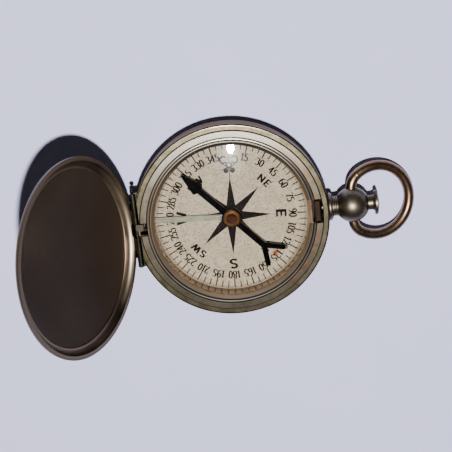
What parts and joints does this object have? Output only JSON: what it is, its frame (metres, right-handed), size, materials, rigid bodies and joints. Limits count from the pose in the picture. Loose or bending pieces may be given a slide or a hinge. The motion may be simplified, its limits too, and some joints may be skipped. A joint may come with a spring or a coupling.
{
  "type": "pocket compass",
  "caption": "Round hunter-case pocket compass with a hinged domed lid, glazed dial, lifting magnetic needle, push-button catch and a wire bow on a ball pendant.",
  "frame": {"origin": "centre of the case's flat back, where it stands on a table", "axes": "+Z out of the dial; +Y towards 12 o'clock, along the lid's hinge; +X from the hinge through the pendant and its bow"},
  "size_m": [0.0884, 0.045, 0.0473],
  "materials": {
    "case_nickel": "worn nickel plate with olive tarnish",
    "ring_silver": "satin nickel plate, copper showing at the worn inner edge",
    "watch_glass": "clear, lightly scratched",
    "cup_brass": "turned, dark brown tarnish",
    "dial_print": "silvered and stained, printed in black",
    "needle_blued": "blued almost black with bright edges",
    "cap_brass": "turned",
    "jewel_ruby": "polished synthetic ruby",
    "lever_nickel": "thin nickelled sheet, greenish tarnish",
    "steel": "bright",
    "lid_patina": "dark brown tarnished plate, rubbed bright on its edge",
    "hinge_dark": "dark with dirt, rubbed at the ends",
    "spring_blued": "blue-grey",
    "catch_bronze": "brown bronze, rubbed bright along its nose",
    "pendant_patina": "dark olive-brown tarnished plate",
    "bow_bronze": "worn plate with copper-brown streaks"
  },
  "bodies": {
    "case": {"case_back": "case_nickel", "case_band": "case_nickel", "bezel": "ring_silver", "glass": "watch_glass", "dial_cup": "cup_brass", "dial": "dial_print", "pivot_post": "cap_brass", "pivot_pin": "steel", "lever_pin": "steel", "lever_bracket": "cup_brass", "case_knuckles": "hinge_dark", "hinge_pin": "hinge_dark", "lid_spring": "spring_blued", "lid_spring_screw": "spring_blued", "lock_spring_screw": "spring_blued", "pendant_collar": "pendant_patina", "pendant_ball": "pendant_patina", "stem_spring": "steel"},
    "lid": {"lid_shell": "lid_patina", "lid_rim": "lid_patina", "lid_knuckles": "hinge_dark"},
    "lever": {"lift_lever": "lever_nickel"},
    "needle": {"needle": "needle_blued", "needle_cap": "cap_brass", "cap_jewel": "jewel_ruby"},
    "button": {"push_stem": "pendant_patina", "push_button": "pendant_patina"},
    "catch": {"lock_spring": "spring_blued", "latch_catch": "catch_bronze"},
    "bow": {"bow": "bow_bronze"}
  },
  "joints": [
    {"name": "lid_swing", "type": "hinge", "parent": "case", "child": "lid", "pos_m": [-0.0219, 0, 0.0093], "axis": [0, 1, 0], "range_deg": [0, 120]},
    {"name": "bow_swing", "type": "hinge", "parent": "case", "child": "bow", "pos_m": [0.028, -0.00044, 0.0061], "axis": [0.0157, 0.9999, 0], "range_deg": [-135, 90]},
    {"name": "button_push", "type": "slide", "parent": "case", "child": "button", "axis": [-0.9999, 0.0157, 0], "range_m": [0, 0.0004], "stiffness_N_per_m": 600, "springref_m": -0.0008, "deforming": ["stem_spring"]},
    {"name": "catch_release", "type": "hinge", "parent": "case", "child": "catch", "pos_m": [0.01651, -0.01156, 0.0052], "axis": [0, 0, 1], "range_deg": [0, 2.05]},
    {"name": "lever_rock", "type": "hinge", "parent": "case", "child": "lever", "pos_m": [-0.01946, 0.00122, 0.0062], "axis": [-0.0628, -0.998, 0], "range_deg": [0, 1.15]},
    {"name": "needle_spin", "type": "hinge", "parent": "lever", "child": "needle", "pos_m": [0, 0, 0.0075], "axis": [0, 0, 1], "continuous": true}
  ],
  "couplings": [
    {"joint": "catch_release", "follows": "button_push", "rad_per_m": 86.523},
    {"joint": "lever_rock", "follows": "lid_swing", "ratio": 0.0091667}
  ]
}
